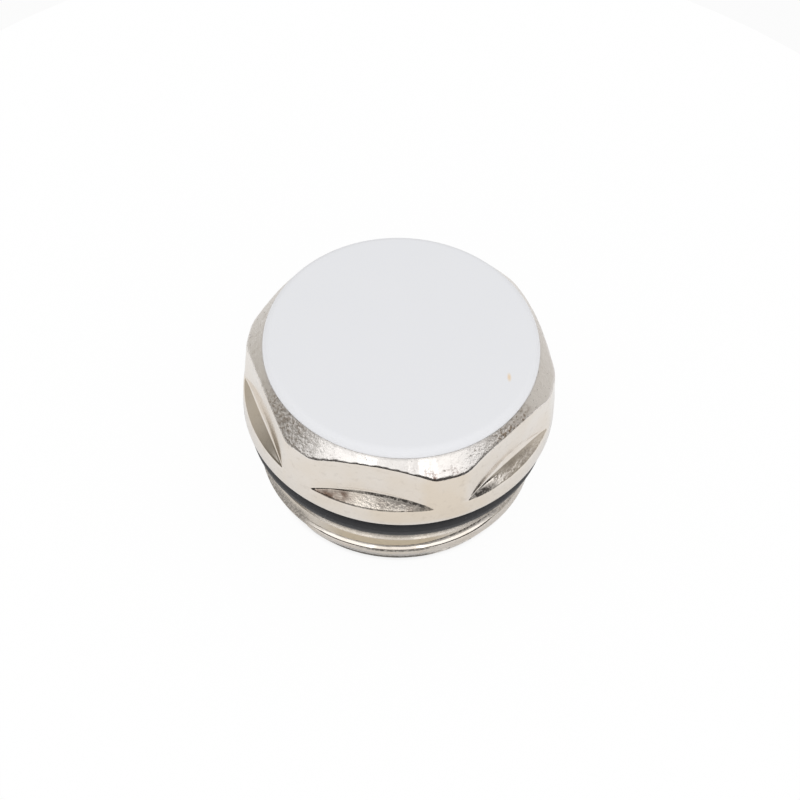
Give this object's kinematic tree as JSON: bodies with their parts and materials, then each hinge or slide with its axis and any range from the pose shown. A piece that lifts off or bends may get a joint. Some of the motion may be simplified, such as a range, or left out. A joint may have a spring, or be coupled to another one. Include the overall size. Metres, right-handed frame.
{
  "type": "radiator blanking plug",
  "caption": "Blanking plug for a radiator: hexagon head on a round flange, rubber sealing ring on the neck, short male pipe thread and a round snap-in cover cap.",
  "frame": {"origin": "centre of the thread's end face, on which the plug stands", "axes": "+Z along the thread axis, out through the cover cap; two flats of the hexagon face along Y"},
  "size_m": [0.0238, 0.0238, 0.0148],
  "materials": {
    "nickel_plate": "nickel plated, satin",
    "black_rubber": "moulded, dull",
    "white_plastic": "moulded, satin gloss"
  },
  "bodies": {
    "root": {"plug_body": "nickel_plate", "o_ring": "black_rubber", "cover_cap": "white_plastic"}
  },
  "joints": []
}
